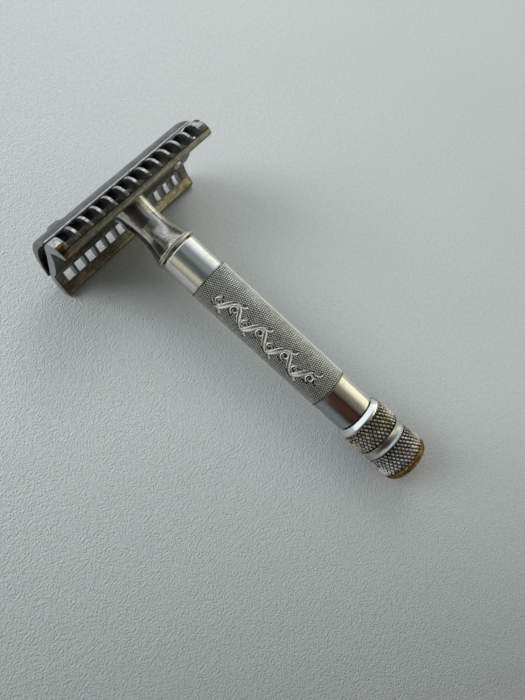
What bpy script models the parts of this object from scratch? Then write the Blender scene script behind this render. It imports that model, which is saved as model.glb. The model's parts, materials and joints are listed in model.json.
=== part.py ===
"""Double-edge safety razor: capped head, slotted guard, flared neck, knurled handle, turning knob.

The razor lies on a table. Its head is at +Y, its knob at -Y, and the head's length runs along X.
Every piece is drawn on the handle's own axis first: u along the head, v across it, w from the head
down the handle, all in millimetres. The whole razor is then leant back until one safety bar and the
knob both rest on z = 0.

Turning the knob turns the draw rod and its threaded socket, which lifts the cap off the guard.
"""
import math

import bmesh
import bpy
import numpy as np
from mathutils import Matrix, Vector

MM = 0.001

# ---------------------------------------------------------------- driving dimensions, in millimetres
LEAN_DEG = 3.818         # how far the handle leans when the razor rests on its bar and knob
GAP = 0.3                # gap kept between touching pieces

CAP_HALF_LENGTH = 21.5
CAP_HALF_WIDTH = 8.5
CAP_EDGE_W = -0.12       # where the cap's long edges lie
CAP_OUTER_RISE = 3.7     # height of the outer arc over the edges
CAP_INNER_RISE = 1.75
CAP_EDGE_LIP = 0.5       # width of the cap's flat long edge
CAP_END_CHAMFER = 0.4
CAP_ARC_STEPS = 20

GUARD_HALF_LENGTH = 21.17
SLOT_COUNT = 12
SLOT_PITCH = 3.223
SLOT_WIDTH = 2.42
SLOT_BACK_V = 7.0        # how near the middle of the guard the slots reach
# half of the guard's cross-section as (v, w), from the top middle round the wing to the underside
GUARD_HALF_PROFILE = [
    (3.2, 0.25), (5.0, 0.15), (6.6, 0.05), (7.6, 0.10), (8.4, 0.26), (9.2, 0.52), (10.0, 0.92),
    (10.8, 1.58), (11.35, 2.5), (11.6, 3.6), (11.5, 4.6), (11.2, 5.2), (10.8, 5.48), (10.25, 5.5),
    (9.8, 5.2), (9.4, 4.6), (8.9, 3.8), (8.1, 2.8), (7.1, 1.95), (6.2, 1.45), (5.0, 1.85),
    (3.5, 2.15), (2.0, 2.25),
]

PIN_U = 15.8             # locating pins, out from the middle of the cap
PIN_RADIUS = 1.2
PIN_HOLE_RADIUS = 1.55
PIN_END_W = 3.0

STUD_RADIUS = 1.6
STUD_FLANGE_RADIUS = 3.0
STUD_END_W = 13.0

NECK_HOLE_RADIUS = 3.35  # hole in the guard that takes the neck's spigot
NECK_SPIGOT_RADIUS = 3.0
NECK_BORE_RADIUS = 2.9
RIM_RADIUS = 5.45

TUBE_RADIUS = 5.05
TUBE_GRIP_RADIUS = 5.2
TUBE_BORE_RADIUS = 4.3
TUBE_TOP_W = 17.1
TUBE_END_W = 71.15
GRIP_TOP_W = 25.3
GRIP_END_W = 62.9

ROD_RADIUS = 1.5
ROD_KNOB_RADIUS = 2.0
ROD_BORE_RADIUS = 1.8
SOCKET_RADIUS = 2.55
SOCKET_BORE_RADIUS = 1.95

KNOB_RING_RADIUS = 6.13
KNOB_CORE_RADIUS = 4.6
KNOB_GROOVE_RADIUS = 5.6
KNOB_RING_BORE = 4.9
KNOB_PIN_W = 76.0
KNOB_PIN_RADIUS = 0.65
KNOB_PIN_HOLE_RADIUS = 0.95

ROUND_STEPS = 40         # flats around a visible round piece
INNER_STEPS = 20         # flats around a hidden one

LEAN = Matrix.Rotation(math.radians(LEAN_DEG), 3, 'X')


# ---------------------------------------------------------------- small tools
def clear_scene():
    for thing in list(bpy.data.objects):
        bpy.data.objects.remove(thing, do_unlink=True)


def material(name, color, metallic, roughness):
    made = bpy.data.materials.new(name)
    made.use_nodes = True
    shader = made.node_tree.nodes["Principled BSDF"]
    shader.inputs["Base Color"].default_value = (*color, 1.0)
    shader.inputs["Metallic"].default_value = metallic
    shader.inputs["Roughness"].default_value = roughness
    return made


def from_axis(u, v, w):
    """A point given on the handle's axis, as a point of the razor before it is leant back."""
    return Vector((u * MM, -w * MM, v * MM))


def add_object(name, mesh, color, metallic=1.0, roughness=0.3):
    piece = bpy.data.objects.new(name, mesh)
    bpy.context.scene.collection.objects.link(piece)
    mesh.materials.append(material(name + "_material", color, metallic, roughness))
    return piece


def finish_mesh(bm, name, sharp_deg=35.0):
    bmesh.ops.remove_doubles(bm, verts=bm.verts, dist=1e-7)
    bmesh.ops.recalc_face_normals(bm, faces=bm.faces)
    mesh = bpy.data.meshes.new(name)
    bm.to_mesh(mesh)
    bm.free()
    mesh.shade_smooth()
    mesh.set_sharp_from_angle(angle=math.radians(sharp_deg))
    return mesh


def revolve_mesh(name, profile, steps):
    """Turn a closed outline of (radius, w) points about the handle's axis."""
    bm = bmesh.new()
    rings = []
    for radius, w in profile:
        if radius < 1e-6:
            rings.append([bm.verts.new(from_axis(0, 0, w))])
            continue
        ring = []
        for step in range(steps):
            angle = 2 * math.pi * (step + 0.5) / steps
            ring.append(bm.verts.new(from_axis(radius * math.cos(angle), radius * math.sin(angle), w)))
        rings.append(ring)
    solid = len(rings[0]) == 1
    pairs = list(zip(rings, rings[1:]))
    if not solid:
        pairs.append((rings[-1], rings[0]))
    for first, second in pairs:
        for step in range(steps):
            after = (step + 1) % steps
            corners = [first[step % len(first)], first[after % len(first)],
                       second[after % len(second)], second[step % len(second)]]
            kept = []
            for corner in corners:
                if corner not in kept:
                    kept.append(corner)
            if len(kept) > 2:
                bm.faces.new(kept)
    return finish_mesh(bm, name)


def tube_profile(inner, outer, start, end, chamfer=0.15):
    """Outline of a plain ring or bush with a small chamfer on its outer edges."""
    return [(inner, start), (outer - chamfer, start), (outer, start + chamfer),
            (outer, end - chamfer), (outer - chamfer, end), (inner, end)]


def rod_profile(radius, start, end, chamfer=0.2):
    """Outline of a plain solid rod."""
    return [(0, start), (radius - chamfer, start), (radius, start + chamfer),
            (radius, end - chamfer), (radius - chamfer, end), (0, end)]


def prism_mesh(name, outline, stations, quads_across=False):
    """Sweep an outline of (v, w) points along u. Each station is (u, outline) or just u."""
    bm = bmesh.new()
    rings = []
    for station in stations:
        u, points = station if isinstance(station, tuple) else (station, outline)
        rings.append([bm.verts.new(from_axis(u, v, w)) for v, w in points])
    count = len(rings[0])
    for first, second in zip(rings, rings[1:]):
        for step in range(count):
            after = (step + 1) % count
            bm.faces.new((first[step], first[after], second[after], second[step]))
    for ring in (rings[0], rings[-1]):
        if quads_across:
            for step in range(count // 2 - 1):
                bm.faces.new((ring[step], ring[step + 1], ring[count - 2 - step], ring[count - 1 - step]))
        else:
            bm.faces.new(ring)
    return finish_mesh(bm, name)


def cut(piece, cutter_meshes):
    """Subtract closed meshes from a piece."""
    cutters = []
    for index, mesh in enumerate(cutter_meshes):
        cutter = bpy.data.objects.new(f"cutter_{index}", mesh)
        bpy.context.scene.collection.objects.link(cutter)
        cutter.hide_render = True
        cutter.display_type = 'WIRE'
        cutters.append(cutter)
        step = piece.modifiers.new(f"cut_{index}", 'BOOLEAN')
        step.operation = 'DIFFERENCE'
        step.solver = 'EXACT'
        step.object = cutter
    evaluated = piece.evaluated_get(bpy.context.evaluated_depsgraph_get())
    result = bpy.data.meshes.new_from_object(evaluated)
    piece.modifiers.clear()
    piece.data = result
    for cutter in cutters:
        bpy.data.objects.remove(cutter, do_unlink=True)
    result.shade_smooth()
    result.set_sharp_from_angle(angle=math.radians(35.0))


def cylinder_cutter(name, center_u, center_v, radius, start_w, end_w, steps=24):
    bm = bmesh.new()
    ends = []
    for w in (start_w, end_w):
        ring = []
        for step in range(steps):
            angle = 2 * math.pi * step / steps
            ring.append(bm.verts.new(from_axis(center_u + radius * math.cos(angle),
                                               center_v + radius * math.sin(angle), w)))
        ends.append(ring)
    for step in range(steps):
        after = (step + 1) % steps
        bm.faces.new((ends[0][step], ends[0][after], ends[1][after], ends[1][step]))
    bm.faces.new(ends[0])
    bm.faces.new(ends[1])
    return finish_mesh(bm, name)


def cross_pin_mesh(name, radius, half_length, w, steps=16):
    """A pin across the handle, along u."""
    bm = bmesh.new()
    chamfer = 0.15
    stations = [(-half_length, radius - chamfer), (-half_length + chamfer, radius),
                (half_length - chamfer, radius), (half_length, radius - chamfer)]
    rings = []
    for u, size in stations:
        ring = []
        for step in range(steps):
            angle = 2 * math.pi * step / steps
            ring.append(bm.verts.new(from_axis(u, size * math.cos(angle), w + size * math.sin(angle))))
        rings.append(ring)
    for first, second in zip(rings, rings[1:]):
        for step in range(steps):
            after = (step + 1) % steps
            bm.faces.new((first[step], first[after], second[after], second[step]))
    bm.faces.new(rings[0])
    bm.faces.new(rings[-1])
    return finish_mesh(bm, name)


# ---------------------------------------------------------------- colours
NICKEL = (0.66, 0.64, 0.58)
WORN_NICKEL = (0.55, 0.52, 0.44)
KNURL_NICKEL = (0.50, 0.47, 0.38)
BRASS = (0.62, 0.45, 0.20)
WORN_BRASS = (0.42, 0.29, 0.12)
STEEL = (0.45, 0.45, 0.46)


# ---------------------------------------------------------------- the cap and what is fixed to it
def arc_points(half_width, edge_w, rise, steps):
    """Points of a shallow arc from +v to -v, highest toward the top of the head."""
    radius = (half_width ** 2 + rise ** 2) / (2 * rise)
    half_angle = math.asin(half_width / radius)
    points = []
    for step in range(steps + 1):
        angle = half_angle * (1 - 2 * step / steps)
        points.append((radius * math.sin(angle), edge_w - rise + radius * (1 - math.cos(angle))))
    return points


def cap_outline(inset):
    outer = arc_points(CAP_HALF_WIDTH - 0.5 * inset, CAP_EDGE_W, CAP_OUTER_RISE - inset, CAP_ARC_STEPS)
    inner = arc_points(CAP_HALF_WIDTH - CAP_EDGE_LIP - 0.5 * inset, CAP_EDGE_W, CAP_INNER_RISE, CAP_ARC_STEPS)
    return outer + inner[::-1]


def build_cap():
    full = cap_outline(0.0)
    drawn_in = cap_outline(CAP_END_CHAMFER)
    straight_end = CAP_HALF_LENGTH - CAP_END_CHAMFER
    stations = [(-CAP_HALF_LENGTH, drawn_in), (-straight_end, full),
                (straight_end, full), (CAP_HALF_LENGTH, drawn_in)]
    shell = prism_mesh("cap_shell", full, stations, quads_across=True)
    pieces = [add_object("cap_shell", shell, NICKEL)]

    inner_top = CAP_EDGE_W - CAP_INNER_RISE + GAP
    flange_top = inner_top + 0.35
    flange_end = flange_top + 0.8
    stud_outline = [(0, flange_top - 0.3), (1.2, flange_top - 0.3), (STUD_FLANGE_RADIUS, flange_top + 0.1),
                    (STUD_FLANGE_RADIUS, flange_end), (STUD_RADIUS, flange_end)]
    # the threaded length is drawn as a row of shallow rings
    ring_start = 3.0
    ring_pitch = 2.0
    for ring in range(4):
        top = ring_start + ring * ring_pitch
        stud_outline += [(STUD_RADIUS, top), (STUD_RADIUS - 0.25, top + 0.5 * ring_pitch)]
    stud_outline += [(STUD_RADIUS, STUD_END_W - 0.6), (STUD_RADIUS - 0.5, STUD_END_W), (0, STUD_END_W)]
    pieces.append(add_object("cap_stud", revolve_mesh("cap_stud", stud_outline, INNER_STEPS), BRASS))

    for name, side in (("locating_pin_left", -1), ("locating_pin_right", 1)):
        mesh = revolve_mesh(name, rod_profile(PIN_RADIUS, inner_top + 0.1, PIN_END_W, 0.25), 20)
        mesh.transform(Matrix.Translation(from_axis(side * PIN_U, 0, 0)))
        pieces.append(add_object(name, mesh, NICKEL))
    return pieces


# ---------------------------------------------------------------- the guard, neck and handle
def build_guard():
    other_half = [(-v, w) for v, w in reversed(GUARD_HALF_PROFILE)]
    outline = GUARD_HALF_PROFILE + other_half
    mesh = prism_mesh("guard_plate", outline, [-GUARD_HALF_LENGTH, GUARD_HALF_LENGTH])
    guard = add_object("guard_plate", mesh, WORN_NICKEL)

    slot_outline = [(SLOT_BACK_V, -1.0), (SLOT_BACK_V, 2.8), (12.6, 5.04), (12.6, -1.0)]
    cutters = []
    for side in (1, -1):
        outline = [(side * v, w) for v, w in slot_outline]
        for index in range(SLOT_COUNT):
            middle = (index - (SLOT_COUNT - 1) / 2) * SLOT_PITCH
            stations = [middle - SLOT_WIDTH / 2, middle + SLOT_WIDTH / 2]
            cutters.append(prism_mesh("slot", outline, stations))
    cutters.append(cylinder_cutter("neck_hole", 0, 0, NECK_HOLE_RADIUS, -1, 4, 32))
    for side in (-1, 1):
        cutters.append(cylinder_cutter("pin_hole", side * PIN_U, 0, PIN_HOLE_RADIUS, -1, 4, 20))
    joined = bmesh.new()
    for cutter in cutters:
        joined.from_mesh(cutter)
    everything = bpy.data.meshes.new("guard_cutters")
    joined.to_mesh(everything)
    joined.free()
    cut(guard, [everything])
    return [guard]


def build_neck():
    outline = [
        (2.0, 0.55), (NECK_SPIGOT_RADIUS - 0.1, 0.55), (NECK_SPIGOT_RADIUS, 0.65),
        (NECK_SPIGOT_RADIUS, 2.55), (4.35, 2.55), (4.2, 3.1), (4.0, 4.4), (3.78, 6.0), (3.68, 7.6),
        (3.68, 9.0), (3.75, 10.4), (3.95, 11.8), (4.25, 13.0), (4.62, 14.1), (5.0, 15.1),
        (5.25, 15.65), (5.25, 15.85), (4.0, 15.85), (4.0, 19.8), (3.8, 20.0), (NECK_BORE_RADIUS, 20.0),
        (NECK_BORE_RADIUS, 3.6), (2.0, 3.2),
    ]
    neck = add_object("neck", revolve_mesh("neck", outline, ROUND_STEPS), NICKEL)
    rim_outline = [(4.3, 16.15), (RIM_RADIUS - 0.12, 16.15), (RIM_RADIUS, 16.27),
                   (RIM_RADIUS, 16.53), (RIM_RADIUS - 0.12, 16.65), (4.3, 16.65)]
    rim = add_object("neck_rim", revolve_mesh("neck_rim", rim_outline, ROUND_STEPS), NICKEL)
    return [neck, rim]


def build_handle():
    outline = [
        (TUBE_BORE_RADIUS, TUBE_TOP_W), (TUBE_RADIUS - 0.2, TUBE_TOP_W), (TUBE_RADIUS, TUBE_TOP_W + 0.2),
        (TUBE_RADIUS, GRIP_TOP_W - 0.1), (TUBE_GRIP_RADIUS, GRIP_TOP_W + 0.1),
        (TUBE_GRIP_RADIUS, GRIP_END_W - 0.1), (TUBE_RADIUS, GRIP_END_W + 0.1),
        (TUBE_RADIUS, TUBE_END_W - 0.2), (TUBE_RADIUS - 0.2, TUBE_END_W), (TUBE_BORE_RADIUS, TUBE_END_W),
    ]
    tube = add_object("handle_tube", revolve_mesh("handle_tube", outline, ROUND_STEPS), KNURL_NICKEL)
    upper = revolve_mesh("upper_guide", tube_profile(ROD_BORE_RADIUS, 4.0, 20.4, 24.4), INNER_STEPS)
    lower = revolve_mesh("lower_guide", tube_profile(ROD_BORE_RADIUS, 4.0, 66.4, 70.4), INNER_STEPS)
    return [tube, add_object("upper_guide", upper, BRASS), add_object("lower_guide", lower, BRASS)]


# ---------------------------------------------------------------- what the knob turns
def build_drive():
    pieces = []
    socket_outline = [
        (SOCKET_BORE_RADIUS, 4.1), (SOCKET_RADIUS - 0.2, 4.1), (SOCKET_RADIUS, 4.3),
        (SOCKET_RADIUS, 18.6), (SOCKET_RADIUS - 0.2, 18.8), (ROD_BORE_RADIUS, 18.8),
        (ROD_BORE_RADIUS, 15.2), (0, 15.2), (0, 13.9), (SOCKET_BORE_RADIUS, 13.9),
    ]
    # a solid web closes the socket between its two bores, so the outline starts on the axis
    socket_outline = socket_outline[8:] + socket_outline[:8]
    pieces.append(add_object("rod_socket", revolve_mesh("rod_socket", socket_outline, INNER_STEPS), BRASS))

    rod_outline = [
        (0, 15.5), (ROD_RADIUS - 0.2, 15.5), (ROD_RADIUS, 15.7), (ROD_RADIUS, 25.7), (2.7, 25.7),
        (2.7, 27.2), (ROD_RADIUS, 27.2), (ROD_RADIUS, 71.6), (ROD_KNOB_RADIUS, 72.0),
        (ROD_KNOB_RADIUS, 85.2), (ROD_KNOB_RADIUS - 0.3, 85.5), (0, 85.5),
    ]
    rod = add_object("draw_rod", revolve_mesh("draw_rod", rod_outline, INNER_STEPS), STEEL)
    cut(rod, [cross_pin_mesh("pin_way", KNOB_PIN_HOLE_RADIUS, 4.0, KNOB_PIN_W)])
    pieces.append(rod)

    washer = revolve_mesh("thrust_washer", tube_profile(ROD_BORE_RADIUS, 3.9, 24.75, 25.35, 0.1), INNER_STEPS)
    pieces.append(add_object("thrust_washer", washer, STEEL, roughness=0.45))
    ring = revolve_mesh("retaining_ring", tube_profile(ROD_BORE_RADIUS, 3.3, 65.3, 66.05, 0.1), INNER_STEPS)
    pieces.append(add_object("retaining_ring", ring, STEEL, roughness=0.45))
    washer = revolve_mesh("knob_washer", tube_profile(2.3, 4.0, 70.75, 71.25, 0.1), INNER_STEPS)
    pieces.append(add_object("knob_washer", washer, STEEL, roughness=0.45))
    return pieces


def build_knob():
    pieces = []
    collar_outline = [(3.4, 71.6), (5.05, 71.6), (5.2, 71.72), (5.85, 72.75), (5.85, 72.95), (4.95, 72.95),
                      (4.95, 72.75), (3.4, 72.75)]
    pieces.append(add_object("knob_collar", revolve_mesh("knob_collar", collar_outline, ROUND_STEPS), NICKEL))

    core_outline = [
        (2.35, 73.1), (KNOB_CORE_RADIUS, 73.1), (KNOB_CORE_RADIUS, 79.2), (KNOB_GROOVE_RADIUS + 0.2, 79.2),
        (KNOB_GROOVE_RADIUS, 79.7), (KNOB_GROOVE_RADIUS - 0.05, 80.1), (KNOB_GROOVE_RADIUS + 0.3, 80.7),
        (KNOB_CORE_RADIUS, 80.7), (KNOB_CORE_RADIUS, 86.2), (2.35, 86.2),
    ]
    core = add_object("knob_core", revolve_mesh("knob_core", core_outline, ROUND_STEPS), NICKEL)
    cut(core, [cross_pin_mesh("pin_way", KNOB_PIN_HOLE_RADIUS, 5.2, KNOB_PIN_W)])
    pieces.append(core)

    upper_outline = [
        (KNOB_RING_BORE, 73.25), (5.8, 73.25), (5.98, 73.9), (6.08, 74.8), (KNOB_RING_RADIUS, 76.0),
        (KNOB_RING_RADIUS, 77.0), (6.05, 78.0), (5.88, 78.6), (5.7, 78.9), (KNOB_RING_BORE, 78.9),
    ]
    upper = revolve_mesh("knob_ring_upper", upper_outline, ROUND_STEPS)
    pieces.append(add_object("knob_ring_upper", upper, KNURL_NICKEL))
    lower_outline = [
        (KNOB_RING_BORE, 81.0), (5.85, 81.0), (5.95, 81.3), (5.98, 82.5), (6.03, 84.0),
        (6.1, 85.2), (6.1, 86.3), (KNOB_RING_BORE, 86.3),
    ]
    lower = revolve_mesh("knob_ring_lower", lower_outline, ROUND_STEPS)
    pieces.append(add_object("knob_ring_lower", lower, KNURL_NICKEL))

    end_outline = [(0, 86.6), (6.05, 86.6), (6.05, 86.95), (5.9, 87.5), (5.6, 88.0), (5.15, 88.4),
                   (4.6, 88.6), (0, 88.6)]
    pieces.append(add_object("knob_end", revolve_mesh("knob_end", end_outline, ROUND_STEPS), WORN_BRASS))
    pin = cross_pin_mesh("knob_pin", KNOB_PIN_RADIUS, 4.4, KNOB_PIN_W)
    pieces.append(add_object("knob_pin", pin, STEEL))
    return pieces


# ---------------------------------------------------------------- putting the razor on the table
def rest_on_table(pieces, turning):
    """Lean every piece back, stand the lowest point on z = 0 and centre the razor on x = y = 0."""
    low = np.full(3, np.inf)
    high = np.full(3, -np.inf)
    for piece in pieces:
        piece.data.transform(LEAN.to_4x4())
        corners = np.array([vertex.co for vertex in piece.data.vertices])
        low = np.minimum(low, corners.min(axis=0))
        high = np.maximum(high, corners.max(axis=0))
    shift = Vector((-(low[0] + high[0]) / 2, -(low[1] + high[1]) / 2, -low[2]))
    knob_center = LEAN @ from_axis(0, 0, TUBE_END_W)
    for piece in pieces:
        if piece.name in turning:
            piece.data.transform(Matrix.Translation(-knob_center))
            piece.location = knob_center + shift
        else:
            piece.data.transform(Matrix.Translation(shift))
    return shift, knob_center + shift


def main():
    clear_scene()
    pieces = build_cap() + build_guard() + build_neck() + build_handle()
    drive = build_drive() + build_knob()
    shift, knob_center = rest_on_table(pieces + drive, {piece.name for piece in drive})
    axis = LEAN @ Vector((0, -1, 0))
    print("axis runs toward", [round(value, 6) for value in axis])
    print("knob turns about", [round(value, 6) for value in knob_center])
    print("head centre is at", [round(value, 6) for value in shift])


main()
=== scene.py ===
"""Looks of a nickel-plated double-edge safety razor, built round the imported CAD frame."""

import json
import math

import bmesh
import bpy
import numpy as np
from mathutils import Matrix, Vector


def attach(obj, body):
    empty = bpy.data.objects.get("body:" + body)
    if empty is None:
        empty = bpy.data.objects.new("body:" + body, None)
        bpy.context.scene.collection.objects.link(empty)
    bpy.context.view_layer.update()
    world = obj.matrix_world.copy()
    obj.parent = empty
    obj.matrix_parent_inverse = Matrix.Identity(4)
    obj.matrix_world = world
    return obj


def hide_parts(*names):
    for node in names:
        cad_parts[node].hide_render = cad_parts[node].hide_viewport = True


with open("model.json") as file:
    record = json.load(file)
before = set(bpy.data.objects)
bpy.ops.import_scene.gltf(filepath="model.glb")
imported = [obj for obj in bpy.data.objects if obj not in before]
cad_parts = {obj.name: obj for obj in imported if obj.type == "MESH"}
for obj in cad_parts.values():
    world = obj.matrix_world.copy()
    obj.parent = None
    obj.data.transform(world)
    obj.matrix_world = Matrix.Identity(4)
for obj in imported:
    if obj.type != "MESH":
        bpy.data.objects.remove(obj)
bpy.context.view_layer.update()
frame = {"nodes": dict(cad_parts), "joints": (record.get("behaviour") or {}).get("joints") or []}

# ------------------------------------------------------------------ the handle's own axes
# u runs along the head, v across it, w from the head down the handle, all in millimetres.
MM = 0.001
turn = next(joint for joint in frame["joints"] if joint["name"] == "knob_turn")
ALONG = np.array(turn["axis"], float)
ALONG /= np.linalg.norm(ALONG)
ACROSS = np.array([1.0, 0.0, 0.0])
UP = np.cross(ALONG, ACROSS)
TUBE_END_W = 71.15       # the knob turns about the lower end of the tube
ORIGIN = np.array(turn["pos_m"], float) - TUBE_END_W * MM * ALONG
RANDOM = np.random.default_rng(7)


def place(points):
    p = np.asarray(points, float).reshape(-1, 3) * MM
    return ORIGIN + p[:, :1] * ACROSS + p[:, 1:2] * UP + p[:, 2:] * ALONG


# ------------------------------------------------------------------ materials
LEAN = math.atan2(-ALONG[2], -ALONG[1])         # how far the handle tips from level
TO_OWN = Matrix.Rotation(-math.pi / 2 - LEAN, 3, "X")


class Nodes:
    """A short way to write a node tree."""

    def __init__(self, tree):
        self.tree = tree

    def add(self, kind, values=None, **settings):
        made = self.tree.nodes.new("ShaderNode" + kind)
        for key, value in settings.items():
            setattr(made, key, value)
        for key, value in (values or {}).items():
            if isinstance(value, bpy.types.NodeSocket):
                self.tree.links.new(value, made.inputs[key])
            else:
                made.inputs[key].default_value = value
        return made

    def own(self):
        """Position on the handle's own axes, in millimetres."""
        where = self.add("TexCoord").outputs["Object"]
        shift = TO_OWN @ Vector((ORIGIN / MM).tolist())
        return self.add("Mapping", {"Vector": where, "Scale": (1 / MM,) * 3, "Location": -shift,
                                    "Rotation": TO_OWN.to_euler()}).outputs[0]

    def noise(self, where, scale, detail=3.0, rough=0.55, stretch=(1, 1, 1), shift=(0, 0, 0)):
        moved = self.add("Mapping", {"Vector": where, "Scale": stretch, "Location": shift}).outputs[0]
        return self.add("TexNoise", {"Vector": moved, "Scale": scale, "Detail": detail,
                                     "Roughness": rough}).outputs["Fac"]

    def math(self, kind, a, b=0.0):
        made = self.add("Math", operation=kind)
        for index, value in enumerate((a, b)):
            if isinstance(value, bpy.types.NodeSocket):
                self.tree.links.new(value, made.inputs[index])
            else:
                made.inputs[index].default_value = value
        return made.outputs[0]

    def span(self, value, low, high, to_low=0.0, to_high=1.0):
        return self.add("MapRange", {"Value": value, "From Min": low, "From Max": high,
                                     "To Min": to_low, "To Max": to_high}).outputs[0]

    def mix(self, amount, a, b):
        made = self.add("Mix", data_type="RGBA", blend_type="MIX")
        for index, value in ((0, amount), (6, a), (7, b)):
            if isinstance(value, bpy.types.NodeSocket):
                self.tree.links.new(value, made.inputs[index])
            else:
                made.inputs[index].default_value = value if index == 0 else (*value, 1.0)
        return made.outputs[2]

    def split(self, where):
        made = self.add("SeparateXYZ", {"Vector": where})
        return made.outputs[0], made.outputs[1], made.outputs[2]


class Metal:
    """A worn metal in the making: its nodes, its coordinates, and its colour and roughness so far."""

    def __init__(self, name):
        self.material = bpy.data.materials.new(name)
        self.material.use_nodes = True
        self.tree = self.material.node_tree
        self.shader = self.tree.nodes["Principled BSDF"]
        self.shader.inputs["Metallic"].default_value = 1.0
        self.n = Nodes(self.tree)
        self.own = self.n.own()
        self.specks = self.n.noise(self.own, 3.2, 4.0, 0.65, shift=(3, 7, 1))
        self.colour = self.rough = None

    def roughen(self, where, by):
        self.rough = self.n.math("ADD", self.rough, self.n.math("MULTIPLY", where, by))

    def tarnished(self, clean, tarnish, amount, rough, fine, pits):
        """Clean metal with tarnish in clouds and dark pits."""
        n = self.n
        clouds = n.noise(self.own, 0.35, 5.0, 0.6)
        cover = n.math("ADD", n.math("MULTIPLY", clouds, 0.7), n.math("MULTIPLY", self.specks, 0.3))
        stain = n.span(cover, 0.62 - 0.35 * amount, 0.75 - 0.25 * amount)
        pitted = n.math("MULTIPLY", n.span(self.specks, 0.66, 0.76), pits)
        self.colour = n.mix(pitted, n.mix(stain, clean, tarnish), tuple(0.35 * c for c in tarnish))
        self.rough = n.span(fine, 0.3, 0.7, *rough)
        self.roughen(stain, 0.10)

    def patched(self, shade, limits, soft, lean=0.0):
        """One patch with a ragged edge, inside limits along u, v and w, used both for worn metal and for
        painted light and shade.
        """
        n = self.n
        u, v, w = n.split(self.own)
        if lean:
            u = n.math("ADD", u, n.math("MULTIPLY", w, lean))
        ragged = n.math("SUBTRACT", n.noise(self.own, 0.9, 4.0, 0.6), 0.5)
        ragged = n.math("MULTIPLY", ragged, 2.2 * soft)
        inside = None
        for axis, limit in zip((u, v, w), limits):
            if limit is None:
                continue
            middle, half = (limit[0] + limit[1]) / 2, (limit[1] - limit[0]) / 2
            away = n.math("ADD", n.math("ABSOLUTE", n.math("SUBTRACT", axis, middle)), ragged)
            part = n.span(away, half + 0.3 * soft, half - 0.3 * soft)
            inside = part if inside is None else n.math("MULTIPLY", inside, part)
        self.colour = n.mix(inside, self.colour, shade)
        self.roughen(inside, 0.08)

    def dirtied(self, dirt, bottom, tip):
        """Dirt on a turned surface, from the knurl's clean tips down to its bottom, both as radii."""
        n = self.n
        u, v, _ = n.split(self.own)
        radius = n.math("SQRT", n.math("ADD", n.math("MULTIPLY", u, u), n.math("MULTIPLY", v, v)))
        low = n.math("MULTIPLY", n.span(radius, tip, bottom), n.span(self.specks, 0.25, 0.55, 0.55, 1.0))
        self.colour = n.mix(low, self.colour, dirt)
        self.roughen(low, 0.35)

    def streaked(self, shade, strength):
        """Dark streaks along u, and blots."""
        n = self.n
        drawn = n.noise(self.own, 1.3, 3.0, 0.65, stretch=(0.22, 2.2, 2.2), shift=(2, 4, 6))
        blots = n.noise(self.own, 1.25, 3.0, 0.6, shift=(8, 1, 5))
        marks = n.math("MAXIMUM", n.span(drawn, 0.48, 0.66), n.span(blots, 0.44, 0.60))
        marks = n.math("MULTIPLY", marks, strength)
        self.colour = n.mix(marks, self.colour, shade)
        self.roughen(marks, 0.12)

    def bumped(self, fine, lines, pits, distance):
        n = self.n
        hair = n.noise(self.own, 2.2, 2.0, 0.7, stretch=(6.0, 6.0, 0.45), shift=(5, 2, 9))
        height = n.math("ADD", n.math("MULTIPLY", fine, lines), n.math("MULTIPLY", hair, 0.25 * lines))
        height = n.math("ADD", height, n.math("MULTIPLY", self.specks, 0.5 * pits))
        bump = n.add("Bump", {"Height": height, "Strength": 0.35, "Distance": distance * MM})
        self.tree.links.new(bump.outputs[0], self.shader.inputs["Normal"])


def metal(name, clean, tarnish, amount=0.4, rough=(0.12, 0.3), lines=0.3, pits=0.3, dirt=None,
          patches=(), bump=0.02, streaks=0.0):
    """Worn metal. amount is the share of tarnish, rough the roughness between scratches and on them,
    lines and pits the depths of scratches and pits, bump their scale in millimetres, dirt the colour
    and radii for Metal.dirtied, and each of patches is what Metal.patched takes.
    """
    made = Metal(name)
    fine = made.n.noise(made.own, 1.6, 2.0, 0.6, stretch=(0.8, 0.8, 16.0))
    made.tarnished(clean, tarnish, amount, rough, fine, pits)
    for patch in patches:
        made.patched(*patch)
    if dirt:
        made.dirtied(*dirt)
    if streaks:
        made.streaked(tuple(0.45 * c for c in tarnish), streaks)
    made.bumped(fine, lines, pits, bump)
    made.tree.links.new(made.colour, made.shader.inputs["Base Color"])
    made.tree.links.new(made.rough, made.shader.inputs["Roughness"])
    return made.material


NICKEL = (0.80, 0.79, 0.75)
WARM = (0.50, 0.44, 0.30)
BRONZE = (0.20, 0.095, 0.03)
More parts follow.
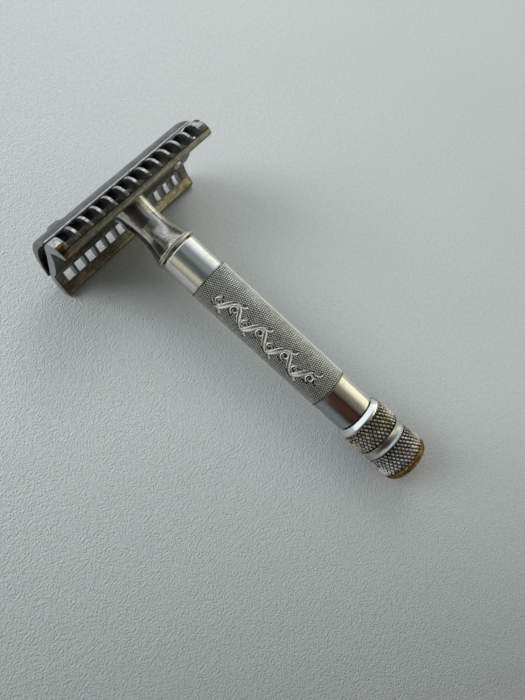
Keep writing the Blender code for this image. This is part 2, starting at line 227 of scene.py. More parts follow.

# the cap and the guard, their base colours darkened well below nickel as painted shade
cap_metal = metal(
    "cap_nickel", (0.20, 0.215, 0.22), (0.105, 0.105, 0.10), 0.45, (0.16, 0.34), 0.3, 0.5,
    streaks=0.45, bump=0.04, patches=[
        ((0.97, 0.98, 0.98), (None, (8.25, 9.2), (-0.62, 0.3)), 0.10),          # painted highlight along the long edge
        ((0.30, 0.285, 0.25), ((-22.5, -20.9), None, None), 0.3)])              # the left end
guard_metal = metal(
    "guard_nickel", (0.33, 0.31, 0.235), (0.14, 0.125, 0.07), 0.55, (0.17, 0.34), 0.4, 0.7,
    streaks=0.55, bump=0.07, patches=[
        ((0.72, 0.72, 0.68), (None, (8.3, 12.6), (-0.2, 3.3)), 0.5),            # painted highlight on the teeth's crowns
        ((0.13, 0.125, 0.11), (None, (-9.0, 9.6), (1.6, 4.3)), 0.4),            # painted shade on the underside
        ((0.25, 0.245, 0.205), (None, (10.0, 12.5), (4.35, 5.9)), 0.3),         # painted shade on the bar's crest
        (BRONZE, ((-19.97, -17.55), (9.6, 12.5), (2.95, 5.6)), 0.22, 0.5),      # bare metal, left end
        # painted shade of a hollow inside the bare metal at the left end
        ((0.035, 0.025, 0.015), ((-19.27, -17.90), (10.2, 12.5), (3.5, 4.9)), 0.2, 0.5),
        (BRONZE, ((20.3, 21.57), (9.0, 12.5), (1.0, 2.2)), 0.4)])               # bare metal, right end
end_face_metal = metal(
    "guard_end", (0.38, 0.395, 0.40), (0.22, 0.22, 0.205), 0.4, (0.18, 0.34), 0.3, 0.4, streaks=0.2)
# painted light and shade in the slots: a light metal as painted light on the near walls, a dark one as
# painted shade on the far walls, and a near-black one as painted shade in the hollows behind the slots and
# on the seat under the cap
painted_lit_wall_metal = metal(
    "slot_side_painted_lit", (0.56, 0.59, 0.61), (0.24, 0.24, 0.22), 0.5, (0.2, 0.4), 0.2, 0.6, streaks=0.3)
painted_shaded_wall_metal = metal(
    "slot_side_painted_shaded", (0.24, 0.265, 0.255), (0.10, 0.10, 0.09), 0.5, (0.2, 0.4), 0.2, 0.6, streaks=0.3)
painted_hollow_shade_metal = metal(
    "painted_shade_behind_slot", (0.035, 0.033, 0.03), (0.015, 0.013, 0.01), 0.5, (0.35, 0.6), 0.2, 0.6)

# the handle
neck_metal = metal(
    "neck_nickel", (0.62, 0.62, 0.59), (0.30, 0.24, 0.15), 0.34, (0.08, 0.20), 0.5, 0.6, bump=0.03,
    # painted light on the neck: painted shade low on its right, a painted cream highlight near the head, and
    # beside it a painted dark reflection
    patches=[((0.30, 0.30, 0.27), ((1.0, 7.0), None, (10.2, 16.0)), 1.0),
             ((0.97, 0.91, 0.74), ((0.5, 2.9), (0.0, 6.0), (1.8, 7.6)), 0.35),
             ((0.17, 0.15, 0.16), ((-3.0, -0.5), (0.0, 6.0), (1.8, 8.6)), 0.35)])
rim_metal = metal("rim_nickel", (0.62, 0.58, 0.46), WARM, 0.4, (0.12, 0.25), 0.2, 0.3)
tube_metal = metal(
    "tube_nickel", NICKEL, (0.55, 0.47, 0.34), 0.22, (0.05, 0.13), 0.3, 0.4, bump=0.015,
    # painted shade, a dark reflection of the shaded table, on the left of the tube's lower end
    patches=[((0.38, 0.40, 0.42), ((-6.0, -3.5), None, (62.0, 72.0)), 0.5)])
grip_metal = metal(
    "grip_nickel", (0.95, 0.95, 0.92), (0.68, 0.64, 0.54), 0.28, (0.34, 0.46), 0.1, 0.3,
    dirt=((0.05, 0.047, 0.04), 5.06, 5.16),
    # painted shade down the grip's left side
    patches=[((0.66, 0.66, 0.62), ((-6.0, -2.9), None, None), 0.9)])
scroll_metal = metal("scroll_nickel", (0.97, 0.96, 0.93), (0.78, 0.73, 0.6), 0.15, (0.24, 0.34), 0.1, 0.2)

# the knob
collar_metal = metal(
    "collar_nickel", (0.88, 0.89, 0.89), (0.6, 0.52, 0.38), 0.12, (0.08, 0.2), 0.3, 0.4,
    # painted shade on the collar's right side
    patches=[((0.46, 0.47, 0.47), ((3.9, 7.0), None, None), 0.7)])
core_metal = metal("core_nickel", (0.54, 0.55, 0.54), (0.34, 0.31, 0.24), 0.3, (0.22, 0.34), 0.5, 0.4)
upper_metal = metal(
    "ring_upper_nickel", (0.88, 0.85, 0.76), (0.42, 0.36, 0.22), 0.50, (0.28, 0.42), 0.1, 0.9,
    dirt=((0.045, 0.036, 0.02), 5.76, 6.02))
lower_metal = metal(
    "ring_lower_nickel", (0.90, 0.86, 0.84), (0.48, 0.41, 0.36), 0.4, (0.28, 0.42), 0.1, 0.8,
    dirt=((0.035, 0.028, 0.03), 5.70, 5.97),
    patches=[((0.26, 0.14, 0.045), (None, None, (86.2, 87.6)), 0.6)])
end_metal = metal(
    "end_brass", (0.42, 0.28, 0.09), (0.13, 0.075, 0.03), 0.6, (0.28, 0.5), 0.4, 1.0, bump=0.25, streaks=0.7)

# the small pieces that keep their CAD shapes
brass_metal = metal("turned_brass", (0.72, 0.52, 0.22), (0.45, 0.30, 0.12), 0.35, (0.18, 0.34), 0.8, 0.3)
steel_metal = metal("turned_steel", (0.50, 0.50, 0.51), (0.30, 0.27, 0.24), 0.35, (0.22, 0.4), 0.8, 0.4)
pin_metal = metal("pin_nickel", (0.60, 0.58, 0.50), WARM, 0.3, (0.25, 0.4), 0.3, 0.3)
stained_metal = metal("pin_stained", (0.16, 0.10, 0.06), (0.09, 0.05, 0.03), 0.5, (0.3, 0.5), 0.3, 0.5)

CARRIED_OVER = {
    "cap_stud": brass_metal, "upper_guide": brass_metal, "lower_guide": brass_metal,
    "rod_socket": brass_metal, "draw_rod": steel_metal, "thrust_washer": steel_metal,
    "retaining_ring": steel_metal, "knob_washer": steel_metal, "knob_pin": steel_metal,
    "locating_pin_left": stained_metal, "locating_pin_right": pin_metal}
for node, material in CARRIED_OVER.items():
    for slot in frame["nodes"][node].material_slots:
        slot.material = material


# ------------------------------------------------------------------ mesh tools
def face_outward(mesh, weld=False):
    """Turn every face outward, and with weld join the points that coincide."""
    bm = bmesh.new()
    bm.from_mesh(mesh)
    if weld:
        bmesh.ops.remove_doubles(bm, verts=bm.verts, dist=1e-7)
    bmesh.ops.recalc_face_normals(bm, faces=bm.faces)
    bm.to_mesh(mesh)
    bm.free()


def make(name, points, faces, material, body, node, smooth=35.0):
    """A piece from points on the handle's own axes, in millimetres, in place of a CAD node."""
    mesh = bpy.data.meshes.new(name)
    mesh.from_pydata(place(points).tolist(), [], faces)
    mesh.validate()
    face_outward(mesh, weld=True)
    mesh.materials.append(material)
    mesh.shade_smooth()
    mesh.set_sharp_from_angle(angle=math.radians(smooth))
    piece = bpy.data.objects.new(name, mesh)
    bpy.context.scene.collection.objects.link(piece)
    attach(piece, body)
    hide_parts(node)
    return piece


def curve(points, steps):
    """Smooth path through the points (Catmull-Rom), with steps between each two of them."""
    p = np.array([points[0]] + list(points) + [points[-1]], float)
    out = []
    for a, b, c, d in zip(p, p[1:], p[2:], p[3:]):
        for step in range(steps):
            t = step / steps
            out.append(0.5 * (2 * b + (c - a) * t + (2 * a - 5 * b + 4 * c - d) * t ** 2
                              + (3 * b - a - 3 * c + d) * t ** 3))
    out.append(p[-2])
    return np.array(out)


def revolve(profile, around, closed=False, wobble=None):
    """Points and faces of an outline of (radius, w) turned about the axis.

    closed joins its last point to its first, and wobble(angle, w) is added to the radius.
    """
    profile = np.asarray(profile, float)
    angle = 2 * np.pi * np.arange(around) / around
    rings = []
    for radius, w in profile:
        size = radius * np.ones(around) if wobble is None else radius + wobble(angle, w)
        rings.append(np.stack([size * np.cos(angle), size * np.sin(angle), np.full(around, w)], 1))
    faces = []
    count = len(profile)
    for ring in range(count if closed else count - 1):
        a, b = ring * around, (ring + 1) % count * around
        faces += [(a + k, a + (k + 1) % around, b + (k + 1) % around, b + k) for k in range(around)]
    return np.concatenate(rings), faces


GROOVE_SPREAD, TOP_SPREAD = 0.06, 0.12        # how unevenly knurls are cut


def knurl(around, rows, start, end, radius, depth, flat, top_sink=0.0, keep=None):
    """Diamond knurling as its own skin: each diamond has a raised flat top and four sloping sides.

    The grooves cross at depth below radius(w). flat is the top's share of the diamond along each of
    the two groove directions, top_sink is how unevenly the tops are worn, and keep(angle, w) is
    false where there is no diamond.
    """
    step = (end - start) / rows
    crossings = []
    for row in range(rows + 1):
        w = start + step * row
        angle = 2 * np.pi * (np.arange(around) + 0.5 * (row & 1)) / around
        r = radius(w) - depth * (1.0 + GROOVE_SPREAD * RANDOM.standard_normal(around))
        crossings.append(np.stack([r * np.cos(angle), r * np.sin(angle), np.full(around, w)], 1))
    points, faces = [np.concatenate(crossings)], []
    count = len(points[0])
    half, reach = np.pi / around / 2, step / 2
    for row in range(1, rows):
        w, odd = start + step * row, row & 1
        for k in range(around):
            left, right = row * around + k, row * around + (k + 1) % around
            side = (k + odd) % around
            top, bottom = (row - 1) * around + side, (row + 1) * around + side
            middle = 2 * np.pi * (k + 0.5 + 0.5 * odd) / around
            if keep is not None and not keep(middle, w):
                faces.append((left, top, right, bottom))
                continue
            long, short = np.array(flat) * (1.0 + TOP_SPREAD * RANDOM.standard_normal(2))
            tall = radius(w) + top_sink * abs(RANDOM.standard_normal())
            spots = [(middle + half * (b - a), w + reach * (a + b))
                     for a, b in ((long, -short), (-long, -short), (-long, short), (long, short))]
            points.append(np.array([[tall * math.cos(a), tall * math.sin(a), x] for a, x in spots]))
            a, b, c, d = count, count + 1, count + 2, count + 3
            faces += [(a, b, c, d), (left, top, b, a), (top, right, c, b), (right, bottom, d, c),
                      (bottom, left, a, d)]
            count += 4
    last, odd = rows * around, rows & 1
    for k in range(around):
        faces.append((k, (k + 1) % around, around + k))
        faces.append((last + k, last - around + (k + odd) % around, last + (k + 1) % around))
    return np.concatenate(points), faces


# ------------------------------------------------------------------ the cap
CAP_LENGTH, CAP_WIDTH, CAP_EDGE_W, CAP_RISE, CAP_HOLLOW = 21.5, 8.5, -0.12, 3.7, 1.75
CAP_BEND = 0.9           # radius of the rounded ends
KNOCK_U, KNOCK_V = -15.6, 2.6


def arc(width, rise, steps=48):
    """(v, w) of an arc between the cap's long edges, for its outer curve or its hollow."""
    radius = (width ** 2 + rise ** 2) / (2 * rise)
    half = math.asin(width / radius)
    angle = half * (1 - 2 * np.arange(steps + 1) / steps)
    return np.stack([radius * np.sin(angle), CAP_EDGE_W - rise + radius * (1 - np.cos(angle))], 1)


def cap_stations():
    """(u, sink) of each cross-section: the crown sinks round a quarter circle at both ends."""
    quarter = np.linspace(0, math.pi / 2, 9)
    ends = [(CAP_LENGTH - CAP_BEND + CAP_BEND * math.sin(a), CAP_BEND * (1 - math.cos(a))) for a in quarter]
    flat = np.linspace(-(CAP_LENGTH - CAP_BEND), CAP_LENGTH - CAP_BEND, 120)
    return [(-u, sunk) for u, sunk in reversed(ends)] + [(u, 0.0) for u in flat[1:-1]] + ends


def cap_lift(u, v):
    """A low knock on the crown near the left end, and slight waves left by use."""
    lift = 0.55 * np.exp(-((u - KNOCK_U) / 1.45) ** 8) * np.exp(-((v - KNOCK_V) / 2.4) ** 2)
    lift += 0.03 * math.sin(0.9 * u) * np.cos(0.5 * v)
    return lift * np.clip((CAP_WIDTH - 0.6 - abs(v)) / 1.5, 0, 1)


def build_cap():
    inner = arc(CAP_WIDTH - 0.62, CAP_HOLLOW)
    points, faces = [], []
    stations = cap_stations()
    for u, sunk in stations:
        narrowed = 0.35 * sunk
        outer = arc(CAP_WIDTH - narrowed, CAP_RISE - sunk)
        outer[:, 1] -= cap_lift(u, outer[:, 0])
        # the long edges: a narrow bright land between the outer curve and the hollow
        edge = [(CAP_WIDTH - 0.06 - narrowed, CAP_EDGE_W + 0.10),
                (CAP_WIDTH - 0.25 - narrowed, CAP_EDGE_W + 0.17)]
        loop = np.concatenate([edge[::-1], outer, [(-v, w) for v, w in edge], inner[::-1]])
        points.append(np.column_stack([np.full(len(loop), u), loop]))
    count = len(points[0])
    for station in range(len(points) - 1):
        a, b = station * count, (station + 1) * count
        faces += [(a + k, a + (k + 1) % count, b + (k + 1) % count, b + k) for k in range(count)]
    arcs = len(inner)
    for base in (0, (len(points) - 1) * count):
        first, last = 2, count - 1
        for k in range(arcs - 1):
            faces.append((base + first + k, base + first + k + 1, base + last - k - 1, base + last - k))
        faces.append((base + 0, base + 1, base + 2, base + last))
        low = first + arcs
        faces.append((base + low - 1, base + low, base + low + 1, base + last - arcs + 1))
    return make("cap_plate", np.concatenate(points), faces, cap_metal, "cap", "cap_shell", 28)


build_cap()

# ------------------------------------------------------------------ the guard
END_U = 21.17            # half the guard's length
END_PIECE_U = 19.4       # where the slots end and the solid end pieces begin
WING = [
    (3.2, 0.25), (5.0, 0.15), (6.6, 0.05), (7.6, 0.10), (8.4, 0.26), (9.2, 0.52), (10.0, 0.92),
    (10.8, 1.58), (11.35, 2.5), (11.6, 3.6), (11.5, 4.6), (11.2, 5.2), (10.8, 5.48), (10.25, 5.5),
    (9.8, 5.2), (9.4, 4.6), (8.9, 3.8), (8.1, 2.8), (7.1, 1.95), (6.2, 1.45), (5.0, 1.85),
    (3.5, 2.15), (2.0, 2.25),
]
SLOTS, PITCH, SLOT_WIDTH = 12, 3.223, 2.56
SLOT_ROOT_V, SLOT_ROOT_W, SLOT_SLOPE, SLOT_TIP_V = 7.0, 2.8, 0.4, 12.6
SEAT_V, SEAT_W = 8.3, 0.4        # the flat under the cap, out to this v and down to this w
STUD_HOLE, PIN_HOLE, PIN_U = 3.35, 1.45, 15.8


def prism(outline, stations):
    points = np.concatenate([np.column_stack([np.full(len(outline), u), outline]) for u in stations])
    count = len(outline)
    faces = []
    for station in range(len(stations) - 1):
        a, b = station * count, (station + 1) * count
        faces += [(a + k, a + (k + 1) % count, b + (k + 1) % count, b + k) for k in range(count)]
    last = (len(stations) - 1) * count
    faces += [tuple(range(count)), tuple(range(last + count - 1, last - 1, -1))]
    return points, faces


def guard_cutter():
    """One mesh with the twelve slots of each wing and the three holes."""
    tip_w = SLOT_ROOT_W + SLOT_SLOPE * (SLOT_TIP_V - SLOT_ROOT_V)
    slot = np.array([(SLOT_ROOT_V, -1.0), (SLOT_ROOT_V, SLOT_ROOT_W),
                     (SLOT_TIP_V, tip_w), (SLOT_TIP_V, -1.0)])
    shapes = []
    for side in (1, -1):
        for index in range(SLOTS):
            middle = (index - (SLOTS - 1) / 2) * PITCH
            shapes.append(prism(slot * (side, 1), [middle - SLOT_WIDTH / 2, middle + SLOT_WIDTH / 2]))
    around = 48
    for u, radius in ((0, STUD_HOLE), (-PIN_U, PIN_HOLE), (PIN_U, PIN_HOLE)):
        p, f = revolve([(radius, -1), (radius, 4)], around)
        ends = [tuple(range(around)), tuple(range(2 * around - 1, around - 1, -1))]
        shapes.append((p + (u, 0, 0), f + ends))
    points, faces, base = [], [], 0
    for p, f in shapes:
        points.append(p)
        faces += [tuple(base + k for k in face) for face in f]
        base += len(p)
    mesh = bpy.data.meshes.new("guard_cut")
    mesh.from_pydata(place(np.concatenate(points)).tolist(), [], faces)
    face_outward(mesh)
    cutter = bpy.data.objects.new("guard_cut", mesh)
    bpy.context.scene.collection.objects.link(cutter)
    return cutter


def colour_guard(mesh):
    """Give the ends, the slots' walls and floors, and the hollows behind the slots their own metals: painted
    light on the near walls, painted shade on the far walls, and near-black painted shade in the hollows and
    on the seat under the cap.
    """
    near_wall, hollow, end, far_wall = 1, 2, 3, 4
    for extra in (painted_lit_wall_metal, painted_hollow_shade_metal, end_face_metal, painted_shaded_wall_metal):
        mesh.materials.append(extra)
    for face in mesh.polygons:
        middle = (np.array(face.center) - ORIGIN) / MM
        u, v, w = middle[0], middle @ UP, middle @ ALONG
        out = abs(v)
        across, facing = abs(face.normal[0]), abs(np.array(face.normal) @ UP)
        spread = [mesh.vertices[k].co[0] for k in face.vertices]
        short = max(spread) - min(spread) < (SLOT_WIDTH + 0.1) * MM
        on_floor = abs(w - SLOT_ROOT_W - SLOT_SLOPE * (out - SLOT_ROOT_V)) < 0.05
        if across > 0.9 and abs(u) > END_U - 0.27:
            face.material_index = end
        elif short and abs(u) < END_PIECE_U and out > SLOT_ROOT_V - 0.1 and (across > 0.9 or on_floor):
            face.material_index = near_wall if v > 0 else far_wall
        elif abs(out - SLOT_ROOT_V) < 0.1 and facing > 0.9 or (out < SEAT_V and w < SEAT_W):
            face.material_index = hollow


def build_guard():
    half = curve(WING, 4)
    outline = np.concatenate([half, [(-v, w) for v, w in half[::-1]]])
    piece = make("guard", *prism(outline, [-END_U, END_U]), guard_metal, "handle", "guard_plate")
    cutter = guard_cutter()
    cut = piece.modifiers.new("cut", "BOOLEAN")
    cut.operation, cut.solver, cut.object = "DIFFERENCE", "EXACT", cutter
    soft = piece.modifiers.new("soft", "BEVEL")
    soft.width, soft.segments = 0.19 * MM, 3
    soft.limit_method, soft.angle_limit = "ANGLE", math.radians(40)
    evaluated = piece.evaluated_get(bpy.context.evaluated_depsgraph_get())
    result = bpy.data.meshes.new_from_object(evaluated)
    piece.modifiers.clear()
    piece.data = result
    result.shade_smooth()
    result.set_sharp_from_angle(angle=math.radians(50))
    bpy.data.objects.remove(cutter, do_unlink=True)
    colour_guard(result)


build_guard()

# ------------------------------------------------------------------ neck, rim and tube
TUBE_RADIUS, TUBE_BORE = 5.05, 4.3
GRIP_START, GRIP_END, GRIP_RADIUS, GRIP_DEPTH = 25.27, 62.91, 5.18, 0.14
TURNED = 160             # sides of the plain turned pieces


def build_neck():
    side = [(4.45, 2.35), (4.35, 2.7), (4.2, 3.1), (4.0, 4.4), (3.78, 6.0), (3.68, 7.6), (3.68, 9.0),
            (3.75, 10.4), (3.95, 11.8), (4.25, 13.0), (4.62, 14.1), (5.0, 15.1), (5.2, 15.65)]
    outline = np.concatenate([
        [(2.0, 0.55), (3.0, 0.6), (3.0, 2.3)], curve(side, 5),
        [(5.2, 16.1), (4.0, 16.3), (4.0, 19.9), (2.9, 20.0), (2.9, 3.6), (2.0, 3.2)]])
    make("neck_flare", *revolve(outline, TURNED, True), neck_metal, "handle", "neck")
    bead = [(5.2 + 0.27 * math.sin(a), 16.3 - 0.36 * math.cos(a)) for a in np.linspace(0, math.pi, 13)]
    bead = [(TUBE_BORE, 15.95)] + bead + [(TUBE_BORE, 16.65)]
    make("rim_bead", *revolve(bead, TURNED, True), rim_metal, "handle", "neck_rim")


def dents(angle, w):
    return 0.006 * np.sin(3 * angle + 0.4 * w) + 0.004 * np.sin(7 * angle - 0.23 * w)


def build_tube():
    """Plain ends at the tube's radius, and a waist under the knurling's skin."""
    waist = GRIP_RADIUS - 1.6 * GRIP_DEPTH
    shell = [(TUBE_BORE, 17.02), (4.85, 17.02), (4.98, 17.08), (TUBE_RADIUS, 17.25)]
    shell += [(TUBE_RADIUS, w) for w in np.linspace(17.6, GRIP_START + 0.6, 18)]
    shell += [(waist, GRIP_START + 0.65), (waist, GRIP_END - 0.65)]
    shell += [(TUBE_RADIUS, w) for w in np.linspace(GRIP_END - 0.6, 70.8, 18)]
    shell += [(TUBE_RADIUS - 0.06, TUBE_END_W - 0.1), (TUBE_RADIUS - 0.2, TUBE_END_W),
              (TUBE_BORE, TUBE_END_W)]
    make("tube", *revolve(shell, TURNED, True, dents), tube_metal, "handle", "handle_tube")


build_neck()
build_tube()


# ------------------------------------------------------------------ the grip's knurling and its scroll
SCROLL_ANGLE = math.radians(131)
SCROLL_START, SCROLL_WAVE, SCROLL_WAVES, SCROLL_REACH = 29.0, 7.4, 4, 2.0


def scroll_stem():
    end = SCROLL_START + SCROLL_WAVES * SCROLL_WAVE
    w = np.linspace(SCROLL_START, end, 130)
    phase = 2 * np.pi * (w - SCROLL_START) / SCROLL_WAVE
    taper = np.clip((w - SCROLL_START) / 3, 0.15, 1) * np.clip((end - w) / 3, 0.15, 1)
    half_width = 0.32 * taper * (1.15 + 0.4 * np.cos(2 * phase))
    return np.stack([SCROLL_REACH * np.sin(phase), w, half_width], 1)


def scroll_curl(side, middle):
    t = np.linspace(0, 1, 46)
    turns = 1.35 * 2 * np.pi * t
    size = 0.98 * (1 - 0.82 * t)
    around = side * (0.45 - size * np.cos(turns) * 1.2)
    w = middle + 0.1 - size * np.sin(turns) * 1.2
    return np.stack([around, w, 0.22 * (1.15 - 0.75 * t)], 1)


def scroll_leaf(side, middle):
    t = np.linspace(0, 1, 16)
    around = side * (SCROLL_REACH * 0.95 + 1.2 * t)
    w = middle + 0.5 + 1.3 * t + 0.35 * np.sin(np.pi * t)
    return np.stack([around, w, 0.36 * np.sin(np.pi * (0.08 + 0.9 * t))], 1)


def scroll_paths():
    """A running scroll of the builder's own: a wavy stem with a curl and a leaf in each bend.

    Points are (distance round the grip, w, half width), in millimetres.
    """
    paths = [scroll_stem()]
    for bend in range(2 * SCROLL_WAVES):
        side = 1 if bend % 2 == 0 else -1
        middle = SCROLL_START + SCROLL_WAVE * (0.25 + 0.5 * bend)
        paths += [scroll_curl(side, middle), scroll_leaf(side, middle)]
    return paths


scroll = scroll_paths()
scroll_points = np.concatenate(scroll)


def outside_scroll(angle, w):
    around = GRIP_RADIUS * (angle - SCROLL_ANGLE)
    away = np.hypot(scroll_points[:, 0] - around, scroll_points[:, 1] - w)
    return bool(np.min(away - scroll_points[:, 2]) > 0.12)


def grip_radius(w):
    """The knurling runs out to the tube over a millimetre at both ends."""
    from_end = min(w - GRIP_START, GRIP_END - w)
    return GRIP_RADIUS - 0.15 * max(0.0, 1.0 - from_end)


def build_grip():
    points, faces = knurl(62, 72, GRIP_START, GRIP_END, grip_radius, GRIP_DEPTH, (0.50, 0.42), -0.012,
                          outside_scroll)
    make("grip_knurl", points, faces, grip_metal, "handle", "handle_tube", 18)


def build_scroll():
    """Each stroke is a shallow polished channel with raised lips."""
    section = [(-1.3, -0.12), (-0.95, 0.03), (-0.7, 0.0), (-0.25, -0.10),
               (0.25, -0.10), (0.7, 0.0), (0.95, 0.03), (1.3, -0.12)]
    points, faces, base = [], [], 0
    for path in scroll:
        heading = np.gradient(path[:, :2], axis=0)
        heading /= np.linalg.norm(heading, axis=1)[:, None]
        normal = np.stack([-heading[:, 1], heading[:, 0]], 1)
        rows = []
        for across, rise in section:
            at = path[:, :2] + normal * (across * path[:, 2])[:, None]
            radius = GRIP_RADIUS + rise
            angle = SCROLL_ANGLE + at[:, 0] / GRIP_RADIUS
            rows.append(np.stack([radius * np.cos(angle), radius * np.sin(angle), at[:, 1]], 1))
        grid = np.stack(rows, 1)
        n, m = grid.shape[:2]
        points.append(grid.reshape(-1, 3))
        for i in range(n - 1):
            for j in range(m - 1):
                a = base + i * m + j
                faces.append((a, a + 1, a + m + 1, a + m))
        base += n * m
    make("grip_scroll", np.concatenate(points), faces, scroll_metal, "handle", "handle_tube", 60)


build_grip()
build_scroll()

# ------------------------------------------------------------------ the knob
KNURLS_ROUND, KNURL_ROWS, KNURL_DEPTH, KNURL_SINK = 36, 8, 0.42, -0.09
UPPER_SIDE = [(5.90, 72.4), (6.0, 73.4), (6.08, 74.6), (6.13, 75.8), (6.13, 77.0), (6.05, 78.0),
              (5.86, 78.85)]
LOWER_SIDE = [(5.86, 80.85), (5.95, 81.3), (5.98, 82.5), (6.03, 84.0), (6.1, 85.2), (6.08, 87.0)]


def build_collar():
    outline = [(3.4, 71.45), (4.95, 71.45), (5.08, 71.5), (5.16, 71.6), (5.32, 71.78), (5.8, 72.35),
               (5.9, 72.55), (5.9, 72.75), (5.75, 73.1), (3.4, 73.1)]
    make("collar", *revolve(outline, TURNED, True), collar_metal, "knob", "knob_collar")


def build_core():
    groove = curve([(5.84, 78.75), (5.72, 79.0), (5.56, 79.4), (5.5, 79.9), (5.58, 80.35), (5.78, 80.62),
                    (5.95, 80.72), (5.98, 80.82), (5.9, 80.95)], 4)
    outline = np.concatenate([[(2.35, 73.1), (4.6, 73.1), (4.6, 78.7), (5.6, 78.7)], groove,
                              [(5.6, 81.1), (4.6, 81.1), (4.6, 86.2), (2.35, 86.2)]])
    make("groove_band", *revolve(outline, TURNED, True), core_metal, "knob", "knob_core")


def build_knurled_ring(name, node, side, material, start, end):
    side_r, side_w = np.transpose(side)

    def radius(w):
        return float(np.interp(w, side_w, side_r))

    points, faces = knurl(KNURLS_ROUND, KNURL_ROWS, start, end, radius, KNURL_DEPTH, (0.60, 0.26),
                          KNURL_SINK)
    make(name, points, faces, material, "knob", node, 16)


def nicks(angle, w):
    return 0.035 * np.sin(23 * angle + 2.0 * w) * np.sin(9 * angle) + 0.02 * np.sin(41 * angle - 3 * w)


def build_end():
    """The rounded end, with its rim nicked."""
    side = curve([(5.6, 86.5), (5.85, 86.75), (6.02, 87.0), (6.0, 87.35), (5.75, 87.85), (5.3, 88.3),
                  (4.6, 88.55), (3.4, 88.6)], 5)
    outline = np.concatenate([[(2.35, 86.3)], side, [(0.02, 88.6)], [(0.02, 86.3)]])
    points, faces = revolve(outline, TURNED, True)
    angle, radius = np.arctan2(points[:, 1], points[:, 0]), np.hypot(points[:, 0], points[:, 1])
    scale = 1 + nicks(angle, points[:, 2]) * (radius > 5) / np.maximum(radius, 1)
    points[:, :2] *= scale[:, None]
    make("end_dome", points, faces, end_metal, "knob", "knob_end")


build_collar()
build_core()
build_knurled_ring("knurl_upper", "knob_ring_upper", UPPER_SIDE, upper_metal, 72.42, 78.85)
build_knurled_ring("knurl_lower", "knob_ring_lower", LOWER_SIDE, lower_metal, 80.85, 87.05)
build_end()


# ------------------------------------------------------------------ table, light and camera
TABLE_REACH, TABLE_CELLS = 8.0, 8


def table_material():
    """A pale grained top, with painted shade darkening it toward the viewer, and a deeper grain on the left.
    """
    made = bpy.data.materials.new("table_top")
    made.use_nodes = True
    n = Nodes(made.node_tree)
    shader = made.node_tree.nodes["Principled BSDF"]
    place_in = n.add("TexCoord").outputs["Object"]
    where = n.add("Mapping", {"Vector": place_in, "Scale": (1 / MM,) * 3}).outputs[0]
    grain = n.noise(where, 1.1, 3.0, 0.6)
    broad = n.noise(where, 0.02, 2.0, 0.5)
    cells = n.add("TexVoronoi", {"Vector": where, "Scale": 1.2}).outputs["Distance"]
    fine = n.noise(where, 2.6, 1.0, 0.5, shift=(4, 1, 0))
    shade = n.mix(broad, (0.40, 0.418, 0.414), (0.44, 0.455, 0.45))
    shade = n.mix(n.span(grain, 0.3, 0.7, 0.0, 0.5), shade, (0.33, 0.345, 0.342))
    x, y, _ = n.split(where)
    away = n.math("ADD", n.math("MULTIPLY", x, 0.737), n.math("MULTIPLY", y, 0.676))
    # painted shade: the colour falls off toward the viewer
    shade = n.mix(n.span(away, -82.0, -18.0, 0.62, 1.0), (0.0, 0.0, 0.0), shade)
    made.node_tree.links.new(shade, shader.inputs["Base Color"])
    made.node_tree.links.new(n.span(grain, 0.3, 0.7, 0.42, 0.6), shader.inputs["Roughness"])
    height = n.math("ADD", n.math("MULTIPLY", grain, 0.2), n.math("MULTIPLY", cells, 0.2))
    height = n.math("ADD", height, n.math("MULTIPLY", fine, 0.9))
    strength = n.span(x, 45.0, -30.0, 0.25, 1.0)
    bump = n.add("Bump", {"Height": height, "Strength": strength, "Distance": 0.30 * MM})
    made.node_tree.links.new(bump.outputs[0], shader.inputs["Normal"])
    return made


def build_table():
    mesh = bpy.data.meshes.new("table")
    line = np.linspace(-TABLE_REACH, TABLE_REACH, TABLE_CELLS + 1)
    row = TABLE_CELLS + 1
    points = [(x, y, 0.0) for y in line for x in line]
    faces = [(r * row + c, r * row + c + 1, (r + 1) * row + c + 1, (r + 1) * row + c)
             for r in range(TABLE_CELLS) for c in range(TABLE_CELLS)]
    mesh.from_pydata(points, [], faces)
    mesh.materials.append(table_material())
    table = bpy.data.objects.new("table", mesh)
    bpy.context.scene.collection.objects.link(table)


build_table()


def bands(n, angle, stops):
    """Colours round the handle's axis: stops are (angle as a share of a half turn from +X, colour)."""
    made = n.add("ValToRGB", {"Fac": angle})
    ramp = made.color_ramp
    while len(ramp.elements) < len(stops):
        ramp.elements.new(0.5)
    for element, (spot, colour) in zip(ramp.elements, stops):
        element.position = spot
        element.color = (*colour, 1.0)
    return made.outputs[0]


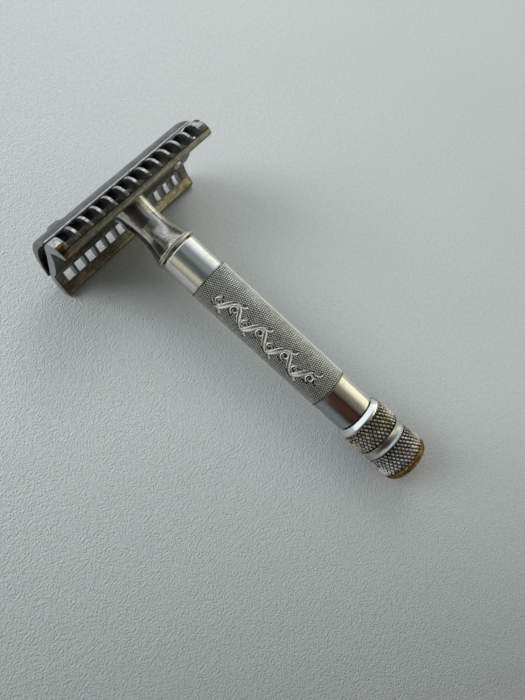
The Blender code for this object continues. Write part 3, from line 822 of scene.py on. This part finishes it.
def build_world():
    """A room in bands round the handle's axis, from the window on the right to the paler left.

    The bands change a little toward the knob's side, and beyond the head the room is bright.
    """
    world = bpy.data.worlds.new("room")
    bpy.context.scene.world = world
    world.use_nodes = True
    n = Nodes(world.node_tree)
    x, y, z = n.split(n.add("TexCoord").outputs["Generated"])
    angle = n.math("DIVIDE", n.math("ARCTAN2", z, x), math.pi)
    level = bands(n, angle, [
        (0.00, (0.95, 0.94, 0.72)), (0.05, (1.30, 1.32, 1.10)), (0.13, (1.05, 1.12, 1.08)),
        (0.21, (0.88, 1.00, 1.05)), (0.285, (0.52, 0.60, 0.63)), (0.36, (0.25, 0.29, 0.30)),
        (0.52, (0.20, 0.24, 0.24)), (0.60, (0.085, 0.11, 0.12)), (0.68, (0.09, 0.115, 0.115)),
        (0.76, (0.18, 0.19, 0.16)), (0.84, (0.55, 0.55, 0.45)), (0.92, (0.48, 0.46, 0.36)),
        (1.00, (0.26, 0.25, 0.19))])
    near = bands(n, angle, [
        (0.00, (0.95, 0.93, 0.70)), (0.05, (1.25, 1.20, 0.88)), (0.20, (1.10, 1.05, 0.80)),
        (0.28, (0.68, 0.64, 0.54)), (0.36, (0.26, 0.24, 0.20)), (0.52, (0.13, 0.12, 0.095)),
        (0.60, (0.024, 0.022, 0.020)), (0.70, (0.06, 0.028, 0.020)), (0.92, (0.05, 0.024, 0.016)),
        (0.98, (0.11, 0.10, 0.09))])
    toward_knob = n.span(y, -0.17, -0.27)
    past_head = n.span(y, 0.30, 0.60)
    colour = n.mix(toward_knob, level, near)
    colour = n.mix(past_head, colour, (0.90, 0.98, 1.02))
    back = world.node_tree.nodes["Background"]
    world.node_tree.links.new(colour, back.inputs["Color"])
    back.inputs["Strength"].default_value = 1.0
    bpy.context.scene.view_settings.view_transform = "Standard"


build_world()


def build_lamp(name, place_at, aim, size, power, colour):
    """A square area lamp for the table, kept out of the metals' reflections."""
    light = bpy.data.lights.new(name, "AREA")
    light.shape = "SQUARE"
    light.size = size
    light.energy = power
    light.color = colour
    lamp = bpy.data.objects.new(name, light)
    lamp.location = place_at
    lamp.rotation_euler = (Vector(aim) - Vector(place_at)).to_track_quat("-Z", "Y").to_euler()
    lamp.visible_glossy = False
    bpy.context.scene.collection.objects.link(lamp)


DAYLIGHT, SKYLIGHT = (1.0, 0.99, 0.97), (0.95, 1.0, 1.03)
build_lamp("window", (0.30, 0.22, 0.30), (0, 0, 0), 0.22, 0.72, DAYLIGHT)
build_lamp("overhead", (0.06, 0.25, 0.33), (0.02, 0.02, 0), 0.45, 0.5, SKYLIGHT)
build_lamp("side", (-0.45, 0.65, 0.44), (0.0, 0.02, 0), 0.45, 7.0, SKYLIGHT)


def build_camera():
    """The photograph's own view, as fitted: where the camera stands and which way its axes point."""
    lens = bpy.data.cameras.new("camera")
    lens.lens, lens.sensor_width = 26.018, 36.0
    lens.clip_start = 0.004
    camera = bpy.data.objects.new("camera", lens)
    bpy.context.scene.collection.objects.link(camera)
    right, up = (0.59724, -0.75602, 0.26783), (0.71203, 0.65348, 0.25686)
    back = (-0.36921, 0.03730, 0.92860)
    turned = Matrix((right, up, back)).transposed().to_4x4()
    camera.matrix_world = Matrix.Translation((-0.045714, 0.001452, 0.114134)) @ turned
    bpy.context.scene.camera = camera


build_camera()
